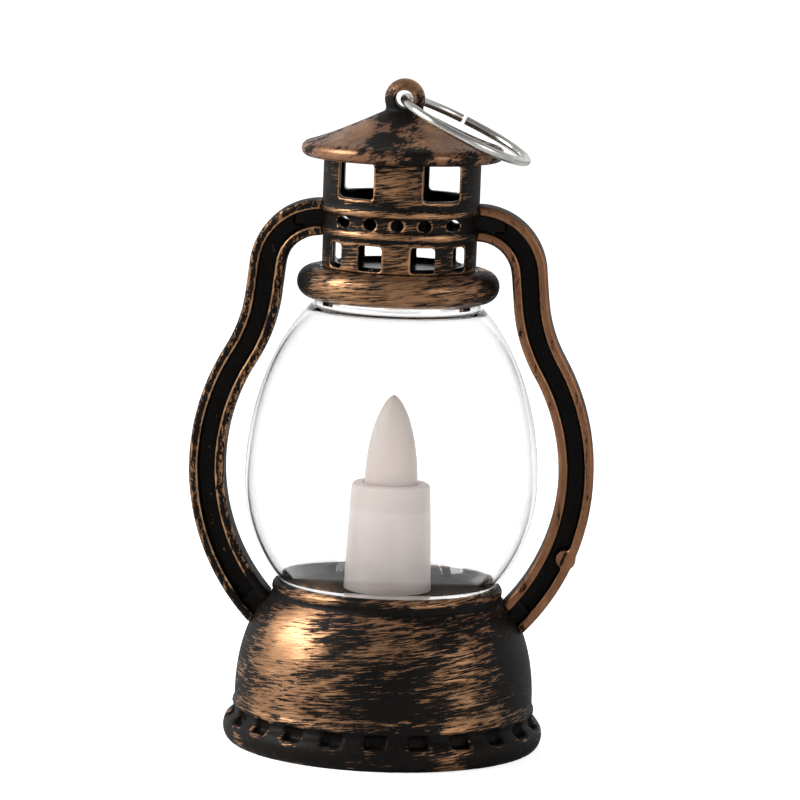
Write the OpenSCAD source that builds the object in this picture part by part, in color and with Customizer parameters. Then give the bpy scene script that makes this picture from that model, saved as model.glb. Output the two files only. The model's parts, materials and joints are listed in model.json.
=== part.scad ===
// Small battery candle lantern in the style of an old railway lamp.
// Sizes are millimetres. The origin is on the floor, on the lantern's upright axis.
// The two frame arms lie along X, and the front and back windows face -Y and +Y.

/* [Base] */
// Largest radius of the foot flange
foot_r = 29.5; // [28.8:0.1:32]
// Height of the foot flange
foot_h = 5.3; // [4.6:0.1:6]
// Radius of the body wall above the ledge
body_r = 27.5; // [26.6:0.1:28]
// Height of the base, from the floor to the lip of the collar
base_h = 30; // [28:0.1:34]
// Largest radius of the collar that holds the globe
collar_r = 21.25; // [20.6:0.05:22]
// Height of the collar's rounded band
collar_h = 2.4; // [2:0.1:2.8]
// Thickness of the collar's wall
collar_wall = 1.5; // [1.3:0.1:1.8]
// Depth of the deck below the collar's lip
deck_drop = 1.4; // [1:0.1:2]
// Thickness of the deck
deck_t = 2.6; // [2.2:0.1:3]
// Wall thickness of the base housing
base_wall = 2; // [1.6:0.1:2.4]
// Number of notches round the foot
notch_n = 22; // [16:1:24]
// Width of one notch
notch_w = 3.7; // [3:0.1:4.4]
// Height of one notch
notch_h = 2.5; // [2:0.1:2.8]
// Radius of the thin bead above the notches
ledge_bead = 0.65; // [0.5:0.05:0.8]

/* [Bottom cover and battery door] */
// Thickness of the bottom cover
cover_t = 1.8; // [1.5:0.1:2.2]
// Height of the cover's face above the floor
cover_lift = 0.8; // [0.6:0.1:1.2]
// Thickness of the battery door
door_t = 1.6; // [1.4:0.1:1.8]
// Thickness of the trough's walls
trough_wall = 1.2; // [1:0.1:1.5]
// Radius of the screws that hold the cover
cover_screw_r = 0.9; // [0.8:0.05:1.1]
// Radius of the screws that hold the door
door_screw_r = 0.85; // [0.75:0.05:0.95]

/* [Electrics] */
// Radius of a button cell
cell_r = 5.8; // [5.6:0.1:6]
// Thickness of a button cell
cell_t = 5.4; // [5:0.1:5.6]
// Number of button cells in the stack
cell_n = 3; // [2:1:3]
// Room for the contact spring
spring_l = 3.2; // [2.8:0.1:3.6]
// Wire radius of the contact spring
spring_wire = 0.22; // [0.18:0.02:0.28]
// Thickness of the contact plates
contact_t = 0.4; // [0.3:0.05:0.5]
// Thickness of the circuit board
board_t = 1; // [0.8:0.1:1.6]
// Height of the board's underside above the cover's inner face
board_lift = 4.4; // [4.2:0.1:5]
// Travel of the switch knob
switch_travel = 2; // [1.5:0.1:2.2]
// Radius of the insulated leads
lead_r = 0.55; // [0.45:0.05:0.65]
// Radius of the light-emitting diode's lens
led_r = 2.5; // [2.4:0.1:2.6]

/* [Candle] */
// Radius of the candle sleeve at its top
sleeve_top_r = 7.3; // [7.1:0.05:7.5]
// Radius of the candle sleeve at the deck
sleeve_foot_r = 7.95; // [7.8:0.05:8.3]
// Height of the sleeve above the deck
sleeve_h = 19.7; // [17:0.1:23]
// Radius of the flame tip where it leaves the sleeve
flame_r = 4.9; // [4.6:0.1:5.1]
// Height of the flame tip above the sleeve
flame_h = 16.2; // [14:0.1:19]
// Wall thickness of the flame tip
flame_wall = 1.1; // [0.9:0.1:1.2]

/* [Globe] */
// Largest radius of the globe
globe_r = 26.9; // [25.5:0.1:28]
// Height of the globe's widest line above the collar's lip
globe_mid = 19; // [17:0.1:21]
// Height from the collar's lip to the underside of the cap
globe_h = 52.2; // [48:0.1:57]
// Wall thickness of the globe
globe_wall = 1; // [0.8:0.05:1.2]
// Radius of the globe where it meets its upper neck
globe_top_r = 15.5; // [15.1:0.05:15.9]

/* [Cap and chimney] */
// Largest radius of the globe cap
cap_r = 18.55; // [18:0.05:19.2]
// Height of the globe cap
cap_h = 5.8; // [5:0.1:6.6]
// Radius of the chimney's upper part
chimney_r = 14.35; // [13.9:0.05:14.6]
// Bore radius of the chimney
chimney_bore = 12.4; // [12:0.05:12.7]
// Height of the chimney from the cap to its seat in the roof
chimney_h = 21.4; // [20:0.1:24]
// Height of the lower windows
low_window_h = 4.6; // [4:0.1:4.9]
// Height of the sill of the upper windows above the cap
high_sill = 13.3; // [13:0.1:14.5]
// Radius of the small round vents
vent_r = 1.15; // [0.9:0.05:1.25]
// Spacing of the small round vents
vent_pitch = 4.94; // [4.4:0.02:5.2]
// Corner radius of the windows
window_corner = 0.6; // [0.3:0.1:0.9]

/* [Roof] */
// Largest radius of the roof's rim
roof_r = 18.5; // [17.8:0.1:19.5]
// Radius of the rounded rim
rim_r = 1.4; // [1.2:0.05:1.6]
// Rise of the roof from its underside to the knob's neck
roof_rise = 8.7; // [7.6:0.1:10]
// Radius of the knob
knob_r = 3.7; // [3.4:0.1:4]
// Radius of the hole through the knob
eye_r = 1.7; // [1.6:0.05:1.8]

/* [Arms] */
// Width of an arm, seen from the front
arm_w = 6.5; // [5.8:0.1:7]
// Depth of an arm, from front to back
arm_d = 7; // [6:0.1:8]
// Width of the channel in an arm
groove_w = 3.1; // [2.6:0.1:3.4]
// Depth of the channel in an arm
groove_d = 2.6; // [1.8:0.1:2.7]
// Gap between the globe's widest line and an arm
arm_gap = 3.75; // [3:0.05:5]
// Radius of the arm's top bend
bend_r = 9.6; // [8.5:0.1:10.5]
// Radius of the arm's waist
waist_r = 28; // [24:0.5:32]
// Length of the straight stretch under the top bend
arm_straight = 5.9; // [4.5:0.1:7]
// Radius of the round ejector mark in the right arm
mark_r = 1.85; // [1.6:0.05:2]

/* [Hanging ring] */
// Radius of the ring's wire
wire_r = 0.8; // [0.7:0.05:0.85]
// Radius of the ring, to the middle of its wire
ring_r = 12.4; // [11.8:0.1:13]
// Angle of the gap between the ring's ends
ring_gap = 3; // [2:0.5:6]

/* [Hidden] */
$fn = 96;

// Clearances: between flat fits, round a running screw, and at a coped joint
fit = 0.2;
run = 0.05;
cope = 0.05;
// Every second stretch of an arm is a hair slimmer and runs this far into its neighbour
joint_step = 0.02;
joint_lap = 0.3;

// Colours
black_bronze = "#3a2c22";
copper = "#a9744a";
dark_moulding = "#1d1a18";
candle_white = "#e9e2d8";
clear = [0.85, 0.9, 0.92, 0.3];
steel = "#a9a8a4";
tin = "#c9c8c2";

// Base, from the floor up
foot_rise = 0.45 * foot_h;
foot_bulge = foot_r - body_r + 0.5;
foot_centre_r = foot_r - foot_bulge;
band_r = body_r + 0.1;
ledge_r = body_r + 0.45;
ledge_z = foot_h + 1 + ledge_bead;
notch_z = ledge_z - ledge_bead + 0.2 - notch_h;
notch_floor_r = band_r - 0.9;
collar_z = base_h - collar_h;
shoulder_z = ledge_z + 2;
shoulder_top = collar_z - 0.3;
shoulder_end = 66;
shoulder_b = (shoulder_top - shoulder_z) / sin(shoulder_end);
shoulder_a = (body_r - collar_r) / (1 - cos(shoulder_end));
shoulder_r = body_r - shoulder_a;
collar_groove_r = collar_r - 0.65;
collar_round = 1.35;
collar_bore = collar_r - collar_wall;
deck_z = base_h - deck_drop;
deck_under = deck_z - deck_t;
globe_seat_z = deck_z - 1;
neck_r = collar_bore - fit;
deck_r = neck_r - globe_wall - 1;
base_bore = body_r - base_wall;

// Bottom cover, trough and door
cover_r = base_bore + 0.6;
cover_top = cover_lift + cover_t;
cover_ledge_r = base_bore - 0.3;
screw_circle = base_bore - 4.2;
screw_angles = [30, 150, 270];
boss_r = 2.4;
boss_h = 9;
cover_head_r = 2.1;
head_h = 0.9;
cell_room = 0.3;
contact_gap = 0.02;
trough_w = 2 * (cell_r + cell_room);
trough_l = cell_n * cell_t + spring_l + contact_t;
trough_y = -(trough_w / 2 + trough_wall + 2.3);
door_top = cover_lift + door_t;
cell_z = door_top + cell_r + cell_room;
trough_ceiling = door_top + trough_w;
trough_top = trough_ceiling + trough_wall;
door_l = trough_l + 2 * trough_wall + 8.6;
door_w = trough_w + 1.6;
door_frame_t = 1.4;
door_screw_x = trough_l / 2 + trough_wall + 2.2;
door_head_r = 1.7;
door_screw_l = 5;
tab_w = 3;
tab_top = trough_top + 1.4;

// Circuit board and switch
board_z = cover_top + board_lift;
board_w = 18;
board_y0 = -1.5;
board_y1 = 16.5;
post_x = 7.2;
post_ys = [0.6, 14.6];
post_r = 1.4;
pin_r = 0.9;
switch_y = 11;
switch_size = [8.6, 3.7, 3.5];
switch_wall = 0.5;
stem = [1.5, 1.3];
slider = [3, 2.2, 0.8];
led_pitch = 2.54;
pad_x = 4.6;
pad_y = 2;
lead_gap = 0.05;

// Candle
sleeve_top = deck_z + sleeve_h;
sleeve_bore = sleeve_top_r - 0.85;
spigot_r = sleeve_top_r + 0.1;
spigot_end = deck_under - 2.6;
candle_flange_r = sleeve_foot_r + 1;
candle_flange_t = 1;
sleeve_neck = flame_r + 0.15;
sleeve_lip = 3.8;
flange_t = 1.2;
holder_top = sleeve_top - sleeve_lip - flange_t - 0.1;
holder_r = sleeve_bore - 0.15;
led_seat = holder_top + flange_t;
led_flange_r = led_r + 0.4;
led_h = 8.6;
lead_wire_r = 0.25;
lead_splice = holder_top - 10;
washer_r = spigot_r + 3;
washer_t = 1.6;

// Globe, cap, chimney and roof, stacked on the base
globe_z = base_h + globe_mid;
globe_foot_r = neck_r + 0.6;
globe_foot_z = base_h + 0.3;
cap_z = base_h + globe_h;
neck_z = cap_z - 1.7;
top_neck_r = globe_top_r - 0.5;
cap_bore = top_neck_r + fit;
cap_bulge = cap_r - cap_bore - 0.5;
cap_ring_r = cap_r - cap_bulge;
cap_seat_z = cap_z + 0.45 * cap_h;
chimney_z = cap_z + cap_h;
cap_plate = 1.6;
spigot_ring_h = 0.9;
lower_r = chimney_r - 0.25;
low_bead = [chimney_r - 0.65, chimney_z + 6.8, 0.85];
high_bead = [chimney_r - 0.35, chimney_z + 10.9, 0.82];
band_z0 = low_bead.y + low_bead.z - 0.05;
band_z1 = high_bead.y - high_bead.z + 0.05;
chimney_top = chimney_z + chimney_h;
roof_seat = 1.4;
roof_z = chimney_top - roof_seat;
low_sill_z = chimney_z + 0.4;
high_sill_z = chimney_z + high_sill;
low_windows = [[2.6, 6.9], [10.1, 12]];
high_windows = [[4.5, 10.8]];
neck_top_z = roof_z + roof_rise;
neck_top_r = knob_r - 0.3;
eye_z = neck_top_z + 2.2;

// Arms: a chain of bends in the XZ plane, from the chimney down to the shoulder
arm_round = 0.7;
bend_a = 84;
waist_a = 25;
foot_heading = -136;
waist_heading = waist_a - bend_a;
belly_a = waist_heading - foot_heading;
arm_top_z = (low_bead.y + high_bead.y) / 2;
arm_foot_z = shoulder_top - 4.3;
bend_drop = bend_r * (1 - cos(bend_a)) + arm_straight * sin(bend_a);
waist_drop = waist_r * (cos(waist_heading) - cos(bend_a));
belly_r = (arm_top_z - arm_foot_z - bend_drop - waist_drop) / (cos(waist_heading) - cos(foot_heading));
arm_reach = globe_r + arm_gap + arm_w / 2;
waist_run = waist_r * (sin(bend_a) - sin(-waist_heading));
bend_run = bend_r * sin(bend_a) + arm_straight * cos(bend_a);
bend_x = arm_reach - belly_r * (1 - sin(-waist_heading)) - waist_run - bend_run;
tenon = [3, 4];
tenon_room = 0.1;
mark_angle = -22;

// Ring, as it lies on the roof
ring_tilt = 25;
ring_lean = 2.5;
gap_angle = 88;

// Points along an ellipse's arc
function ellipse_arc(c, a, b, from, to, n) =
    [for (i = [0:n]) let (t = from + (to - from) * i / n) [c.x + a * cos(t), c.y + b * sin(t)]];
// The same outline with its radii grown
function widen(points, grow) = [for (p = points) [p.x > 0 ? p.x + grow : 0, p.y]];
function reversed(list) = [for (i = [len(list) - 1:-1:0]) list[i]];
function bezier(a, b, c, d, n) = [for (i = [0:n]) let (t = i / n, s = 1 - t)
    s * s * s * a + 3 * s * s * t * b + 3 * s * t * t * c + t * t * t * d];

module spin(points) {
    rotate_extrude() polygon(points);
}

// A round tube swept along points; each ring stands square to the path
module tube(points, r, sides = 8) {
    n = len(points);
    rings = [for (i = [0:n - 1])
        let (along = points[min(i + 1, n - 1)] - points[max(i - 1, 0)],
            side = cross(along, [1, 0, 0]),
            u = side / norm(side),
            v = cross(u, along) / norm(along))
        for (k = [0:sides - 1]) points[i] + r * (cos(360 * k / sides) * u + sin(360 * k / sides) * v)];
    walls = [for (i = [0:n - 2], k = [0:sides - 1])
        let (a = i * sides + k, b = i * sides + (k + 1) % sides)
        each [[a, b, b + sides], [a, b + sides, a + sides]]];
    first = [for (k = [1:sides - 2]) [0, k + 1, k]];
    last = [for (k = [1:sides - 2]) let (a = (n - 1) * sides) [a, a + k, a + k + 1]];
    polyhedron(rings, concat(walls, first, last));
}

module at_screws() {
    for (a = screw_angles) rotate(a) translate([screw_circle, 0, 0]) children();
}

module at_door_screws() {
    for (s = [-1, 1]) translate([s * door_screw_x, trough_y, 0]) children();
}

// Base housing: foot, notches, domed shoulder, collar, deck and screw bosses
function base_outline() = concat(
    [[0, 0]],
    ellipse_arc([foot_centre_r, foot_rise], foot_bulge, foot_h - foot_rise,
        -asin(foot_rise / (foot_h - foot_rise)), acos((band_r - foot_centre_r) / foot_bulge), 12),
    [[band_r, ledge_z - ledge_bead]],
    ellipse_arc([ledge_r - ledge_bead, ledge_z], ledge_bead, ledge_bead, -60, 60, 6),
    ellipse_arc([shoulder_r, shoulder_z], shoulder_a, shoulder_b,
        -asin((shoulder_z - ledge_z - ledge_bead) / shoulder_b), shoulder_end, 18),
    [[collar_groove_r, shoulder_top], [collar_groove_r, collar_z]],
    ellipse_arc([collar_r - collar_round, collar_z + 0.42 * collar_h], collar_round, 0.58 * collar_h,
        -45, 72, 10),
    [[collar_bore + 0.3, base_h], [0, base_h]]);

module base_outer(grow = 0) {
    spin(widen(base_outline(), grow));
}

module notches() {
    for (i = [0:notch_n - 1])
        rotate(-90 + i * 360 / notch_n)
            translate([notch_floor_r, -notch_w / 2, notch_z])
                cube([foot_r - notch_floor_r, notch_w, notch_h]);
}

module base_housing() color(black_bronze) {
    difference() {
        base_outer();
        spin(concat([[0, -1], [cover_r + fit, -1], [cover_r + fit, cover_top], [cover_ledge_r, cover_top]],
            ellipse_arc([shoulder_r, shoulder_z], shoulder_a - base_wall, deck_under - shoulder_z, 0, 90, 12),
            [[0, deck_under]]));
        translate([0, 0, deck_z]) cylinder(r = collar_bore, h = base_h);
        spin([[deck_r, globe_seat_z], [collar_bore, globe_seat_z], [collar_bore, base_h], [deck_r, base_h]]);
        cylinder(r = spigot_r + fit, h = base_h);
        notches();
        for (s = [0, 1]) mirror([s, 0, 0]) foot_tenon(tenon_room);
    }
    at_screws() difference() {
        translate([0, 0, cover_top]) union() {
            cylinder(r = boss_r, h = boss_h);
            translate([0, -0.8, 1]) cube([base_bore - screw_circle + 0.4, 1.6, boss_h - 2]);
        }
        cylinder(r = cover_screw_r + run, h = cover_top + boss_h - 1.5);
    }
}

// Bottom cover with the battery trough, the board's posts and the switch slot
module bottom_cover() color(dark_moulding) {
    difference() {
        union() {
            translate([0, 0, cover_lift]) cylinder(r = cover_r, h = cover_t);
            translate([0, trough_y, 0]) {
                box_on(cover_lift, [trough_l + 2 * trough_wall, trough_w + 2 * trough_wall], trough_top);
                box_on(cover_lift, [door_l + 1.6, door_w + 1.6], door_top + door_frame_t);
            }
            at_door_screws() translate([0, 0, door_top]) cylinder(r = 2, h = door_screw_l + 1);
            for (s = [-1, 1], y = post_ys) translate([s * post_x, y, cover_top - 0.1]) {
                cylinder(r = post_r, h = board_lift + 0.1);
                cylinder(r = pin_r, h = board_lift + board_t + 0.5);
            }
        }
        translate([0, trough_y, 0]) {
            box_on(-1, [door_l + 2 * fit, door_w + 2 * fit], door_top);
            box_on(0, [trough_l, trough_w], trough_ceiling);
            for (s = [-1, 1]) translate([s * (trough_l / 2 - contact_t), 0, 0])
                box_on(cell_z, [2 * contact_t, tab_w + 2 * run], trough_top + 1);
        }
        at_door_screws() cylinder(r = door_screw_r + run, h = door_top + door_screw_l);
        at_screws() {
            cylinder(r = cover_screw_r + fit, h = cover_top + 1);
            cylinder(r = cover_head_r + fit, h = cover_lift + head_h + 0.1);
        }
        translate([0, switch_y, 0])
            box_on(0, [stem.x + switch_travel + 2 * fit, stem.y + 2 * fit], cover_top + 1);
    }
}

// A box centred on Z, between two heights
module box_on(z0, size, z1) {
    translate([-size.x / 2, -size.y / 2, z0]) cube([size.x, size.y, z1 - z0]);
}

// A pan-head screw that points up, with a cross slot in its head
module screw(r, head_r, length) {
    difference() {
        cylinder(r = head_r, h = head_h);
        for (a = [0, 90]) rotate(a) box_on(-1, [1.4 * head_r, 0.5], 0.45);
    }
    cylinder(r = r, h = length);
}

module cover_screws() color(steel) {
    at_screws() translate([0, 0, cover_lift + 0.1]) screw(cover_screw_r, cover_head_r, cover_t + 5.5);
}

module battery_door() color(dark_moulding) {
    difference() {
        translate([0, trough_y, 0]) box_on(cover_lift, [door_l, door_w], door_top);
        at_door_screws() {
            cylinder(r = door_screw_r + fit, h = door_top + 1);
            cylinder(r = door_head_r + fit, h = cover_lift + head_h);
        }
        for (i = [-2:2]) translate([2.4 * i, trough_y, 0])
            box_on(0, [0.9, 0.5 * door_w], cover_lift + 0.35);
    }
}

module door_screws() color(steel) {
    at_door_screws() translate([0, 0, cover_lift])
        screw(door_screw_r, door_head_r, door_t + door_screw_l - 0.6);
}

// Cells in a row along X, each with its smaller negative face towards the spring
module button_cells() color(tin) {
    for (i = [0:cell_n - 1])
        translate([trough_l / 2 - contact_t - (i + 1) * cell_t, trough_y, cell_z])
            rotate([0, 90, 0]) {
                translate([0, 0, 0.5]) cylinder(r = cell_r, h = cell_t - 0.54);
                cylinder(r = cell_r - 0.9, h = 1);
            }
}

module contact_tab(x) {
    translate([x, trough_y, 0]) {
        box_on(cell_z - 3, [contact_t, 2 * tab_w], cell_z + 3);
        box_on(cell_z, [contact_t, tab_w], tab_top);
    }
}

// Conical spring on its plate, wound towards the cells
module contact_spring() color(steel) {
    turns = 3;
    steps = 16 * turns;
    free_l = spring_l - contact_t - 2 * spring_wire - 0.1;
    plate_x = -trough_l / 2 + contact_t / 2 + contact_gap;
    contact_tab(plate_x);
    tube([for (i = [0:steps]) let (t = i / steps, a = 360 * turns * t, r = 4 - 2 * t)
        [plate_x + contact_t / 2 + spring_wire / 2 + free_l * t, trough_y + r * cos(a), cell_z + r * sin(a)]],
        spring_wire, 6);
}

module contact_plate() color(tin) {
    contact_tab(trough_l / 2 - contact_t / 2 - contact_gap);
}

module circuit_board() color("#2f6b3a") {
    difference() {
        translate([-board_w / 2, board_y0, board_z]) cube([board_w, board_y1 - board_y0, board_t]);
        for (s = [-1, 1], y = post_ys) translate([s * post_x, y, board_z - 1])
            cylinder(r = pin_r + 0.1, h = board_t + 2);
    }
}

module control_chip() color("#202022") {
    translate([0, 6, 0]) {
        box_on(board_z + board_t + 0.2, [5, 3.9], board_z + board_t + 1.7);
        for (s = [-1, 1], i = [-1.5:1.5]) translate([1.27 * i, s * 2.5, 0]) {
            box_on(board_z + board_t, [0.4, 1.1], board_z + board_t + 0.2);
            translate([0, -s * 0.3, 0]) box_on(board_z + board_t, [0.4, 0.5], board_z + board_t + 0.8);
        }
    }
}

module resistor() color("#c8a878") {
    translate([-5.5, 8, 0]) {
        box_on(board_z + board_t, [1.6, 3.2], board_z + board_t + 0.6);
    }
}

// Slide switch under the board: a case with a slot for its slider
module switch_body() color(tin) {
    top = board_z;
    low = board_z - switch_size.z;
    translate([0, switch_y, 0]) difference() {
        box_on(low, switch_size, top);
        box_on(low + switch_wall, [slider.x + switch_travel + 2 * fit, slider.y + 2 * fit],
            low + switch_wall + slider.z + fit);
        box_on(low - 1, [stem.x + switch_travel + 2 * fit, stem.y + 2 * fit], low + switch_wall + 0.1);
    }
}

// The knob stands at the off end of its travel
module switch_knob() color("#141414") {
    low = board_z - switch_size.z + switch_wall + fit / 2;
    translate([-switch_travel / 2, switch_y, 0]) {
        box_on(low, slider, low + slider.z);
        box_on(0.3, stem, low + 0.1);
    }
}

// A lead from a battery contact's tab over the trough's edge to its pad on the board
module lead(side) {
    start = [side * (trough_l / 2 - contact_t / 2), trough_y, tab_top + lead_gap];
    pad = [side * pad_x, pad_y, board_z + board_t + lead_gap];
    tube(bezier(start, start + [0, 1, 7], pad + [0, -0.5, 16], pad, 24), lead_r, 8);
}

module red_lead() color("#a02018") lead(1);
module black_lead() color("#151515") lead(-1);

module led_wires() color("#d8d4c8") {
    for (s = [-1, 1]) translate([s * led_pitch / 2, 0, board_z + board_t])
        cylinder(r = lead_r, h = lead_splice - board_z - board_t - lead_gap);
}

module led_leads() color(tin) {
    for (s = [-1, 1]) translate([s * led_pitch / 2, 0, lead_splice])
        cylinder(r = lead_wire_r, h = led_seat - lead_splice);
}

module led_lens() color([1, 0.93, 0.75, 0.8]) {
    translate([0, 0, led_seat]) {
        cylinder(r = led_flange_r, h = 1);
        cylinder(r = led_r, h = led_h - led_r);
        translate([0, 0, led_h - led_r]) sphere(r = led_r);
    }
}

// Plug inside the sleeve: it carries the diode and holds the flame tip's flange up
module led_holder() color(candle_white) {
    difference() {
        union() {
            translate([0, 0, spigot_end + 1]) cylinder(r = holder_r, h = holder_top - spigot_end - 1);
            translate([0, 0, holder_top]) cylinder(r = led_flange_r + 0.3, h = flange_t);
        }
        for (s = [-1, 1]) translate([s * led_pitch / 2, 0, 0]) {
            cylinder(r = lead_r + 0.1, h = lead_splice);
            cylinder(r = lead_wire_r + 0.1, h = led_seat + 1);
        }
    }
}

// Candle sleeve: foot flange on the deck, spigot through it, rounded upper edge
module candle_sleeve() color(candle_white) {
    edge = 0.7;
    difference() {
        spin(concat(
            [[0, spigot_end], [spigot_r, spigot_end], [spigot_r, deck_z], [candle_flange_r, deck_z],
                [candle_flange_r, deck_z + 0.7 * candle_flange_t],
                [candle_flange_r - 0.3, deck_z + candle_flange_t], [sleeve_foot_r, deck_z + candle_flange_t]],
            ellipse_arc([sleeve_top_r - edge, sleeve_top - edge], edge, edge, 0, 90, 6),
            [[0, sleeve_top]]));
        translate([0, 0, spigot_end - 1])
            cylinder(r = sleeve_bore, h = sleeve_top - sleeve_lip - spigot_end + 1);
        cylinder(r = sleeve_neck, h = sleeve_top + 1);
    }
}

// Pointed flame: its radius falls off towards the tip
function flame_curve(r, h, z0, n) =
    [for (i = [0:n]) let (t = sin(90 * i / n)) [r * pow(max(1 - pow(t, 1.8), 0), 0.56), z0 + h * t]];

module flame_tip() color(candle_white) {
    flange_z = holder_top;
    inner_r = flame_r - flame_wall;
    spin(concat(
        [[inner_r, flange_z], [holder_r, flange_z], [holder_r, flange_z + flange_t],
            [flame_r, flange_z + flange_t]],
        flame_curve(flame_r, flame_h, sleeve_top, 18),
        reversed(flame_curve(inner_r, flame_h - 3, sleeve_top, 12))));
}

// Push-on washer that holds the candle under the deck
module retaining_ring() color(steel) {
    difference() {
        translate([0, 0, deck_under - washer_t]) cylinder(r = washer_r, h = washer_t);
        cylinder(r = spigot_r + 0.1, h = deck_under + 1);
        for (a = [0:60:300]) rotate(a + 30) translate([spigot_r - 0.5, -0.4, deck_under - washer_t - 1])
            cube([1.8, 0.8, washer_t + 2]);
    }
}

// Egg-shaped curve with its own height below and above the widest line
function egg(r, low, high, z0, z1, n) =
    let (t0 = -asin((globe_z - z0) / low), t1 = asin((z1 - globe_z) / high))
    [for (i = [0:n]) let (t = t0 + (t1 - t0) * i / n) [r * cos(t), globe_z + (t < 0 ? low : high) * sin(t)]];

module globe() color(clear) {
    low = (globe_z - globe_foot_z) / sqrt(1 - pow(globe_foot_r / globe_r, 2));
    high = (neck_z - globe_z) / sqrt(1 - pow(globe_top_r / globe_r, 2));
    spin(concat(
        [[neck_r - globe_wall, globe_seat_z], [neck_r, globe_seat_z], [neck_r, globe_foot_z]],
        egg(globe_r, low, high, globe_foot_z, neck_z, 30),
        [[top_neck_r, neck_z], [top_neck_r, cap_seat_z], [top_neck_r - globe_wall, cap_seat_z]],
        reversed(egg(globe_r - globe_wall, low - globe_wall, high - globe_wall,
            globe_foot_z + 0.3, neck_z - 0.3, 30))));
}

module globe_cap() color(copper) {
    mid = cap_z + cap_h / 2;
    difference() {
        spin(concat([[0, cap_z]], ellipse_arc([cap_ring_r, mid], cap_bulge, cap_h / 2, -90, 90, 18),
            [[0, chimney_z]]));
        translate([0, 0, cap_z - 1]) cylinder(r = cap_bore, h = cap_seat_z - cap_z + 1);
        translate([0, 0, cap_z - 1]) cylinder(r = cap_bore - 1.5, h = cap_h - cap_plate + 1);
    }
    translate([0, 0, chimney_z]) difference() {
        cylinder(r = chimney_bore - fit, h = spigot_ring_h);
        translate([0, 0, 0.001]) cylinder(r = chimney_bore - fit - 1, h = spigot_ring_h);
    }
}

// Chimney body without its bore and windows
module chimney_outer(grow = 0) {
    spin([[0, chimney_z], [lower_r + grow, chimney_z], [lower_r + grow, low_bead.y],
        [lower_r - 0.1 + grow, low_bead.y], [lower_r - 0.1 + grow, high_bead.y],
        [chimney_r + grow, high_bead.y], [chimney_r + grow, chimney_top], [0, chimney_top]]);
    for (b = [low_bead, high_bead]) translate([0, 0, b.y])
        rotate_extrude() translate([b.x, 0]) circle(r = b.z + grow, $fn = 32);
}

// A window cut straight through front and back, with rounded corners
module window(x0, x1, z0, z1) {
    rotate([90, 0, 0]) linear_extrude(2 * cap_r, center = true) translate([x0, z0]) {
        c = window_corner;
        w = x1 - x0;
        h = z1 - z0;
        translate([c, 0]) square([w - 2 * c, h]);
        translate([0, c]) square([w, h - 2 * c]);
        for (x = [c, w - c], z = [c, h - c]) translate([x, z]) circle(r = c, $fn = 24);
    }
}

module chimney() color(copper) {
    difference() {
        chimney_outer();
        translate([0, 0, chimney_z - 1]) cylinder(r = chimney_bore, h = chimney_h + 2);
        for (s = [0, 1]) mirror([s, 0, 0]) {
            for (x = low_windows) window(x[0], x[1], low_sill_z, low_sill_z + low_window_h);
            for (x = high_windows) window(x[0], x[1], high_sill_z, roof_z - 0.1);
            top_tenon(tenon_room);
        }
        for (i = [-2:2]) translate([i * vent_pitch, 0, (band_z0 + band_z1) / 2]) rotate([90, 0, 0])
            cylinder(r = vent_r, h = 3 * chimney_r, center = true);
    }
}

// Roof: hollow cone with a rounded rim, and the knob with its eye
module roof() color(copper) {
    rim = [roof_r - rim_r, roof_z + rim_r];
    brow = [rim.x + 0.2, roof_z + 2 * rim_r];
    slope = bezier(brow, brow + [-4.5, 1.35], [neck_top_r + 4.5, neck_top_z - 2.1],
        [neck_top_r, neck_top_z], 12);
    seat_r = chimney_r + fit;
    difference() {
        union() {
            spin(concat([[0, roof_z], [rim.x, roof_z]], ellipse_arc(rim, rim_r, rim_r, -90, 82, 14), slope,
                [[0, neck_top_z]]));
            translate([0, 0, neck_top_z - 0.5]) cylinder(r = neck_top_r, h = eye_z - neck_top_z);
            translate([0, 0, eye_z]) sphere(r = knob_r);
        }
        translate([0, 0, roof_z - 1]) cylinder(r = seat_r, h = roof_seat + 1);
        spin([[0, roof_z], [chimney_bore - 0.4, roof_z], [chimney_bore - 0.4, chimney_top],
            [3.5, neck_top_z - 3], [0, neck_top_z - 3]]);
        translate([0, 0, eye_z]) rotate([90, 0, 0]) cylinder(r = eye_r, h = 3 * knob_r, center = true);
    }
}

// Section of an arm: a rounded bar with a channel in front and behind
module arm_section(inset = 0) {
    c = arm_round;
    w = arm_w - 2 * inset;
    d = arm_d - 2 * inset;
    difference() {
        union() {
            square([w - 2 * c, d], center = true);
            square([w, d - 2 * c], center = true);
            for (x = [-1, 1], y = [-1, 1]) translate([x * (w / 2 - c), y * (d / 2 - c)])
                circle(r = c, $fn = 24);
        }
        for (s = [-1, 1]) translate([0, s * arm_d / 2])
            square([groove_w, 2 * groove_d] + 2 * [inset, inset], center = true);
    }
}

// The places where the arm's stretches meet, in X and Z, and the centres of its bends
bend_start = [bend_x, arm_top_z];
bend_centre = bend_start - [0, bend_r];
straight_start = bend_centre + bend_r * [sin(bend_a), cos(bend_a)];
waist_start = straight_start + arm_straight * [cos(bend_a), -sin(bend_a)];
waist_centre = waist_start + waist_r * [sin(bend_a), cos(bend_a)];
belly_start = waist_centre + waist_r * [sin(waist_heading), -cos(waist_heading)];
belly_centre = belly_start + belly_r * [sin(waist_heading), -cos(waist_heading)];
belly_end = belly_centre + belly_r * [-sin(foot_heading), cos(foot_heading)];

// Local X runs along the heading, local Y points to the left of it, both in the XZ plane
module heading_from(p, angle) {
    translate([p.x, 0, p.y]) rotate([90, 0, 0]) rotate(angle) children();
}

module straight_bar(p, angle, length, size) {
    heading_from(p, angle) translate([0, -size.x / 2, -size.y / 2]) cube([length, size.x, size.y]);
}

module arm_bend(centre, r, from, angle, inset = 0) {
    heading_from(centre, from) rotate_extrude(angle = angle) translate([r, 0]) arm_section(inset);
}

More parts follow.
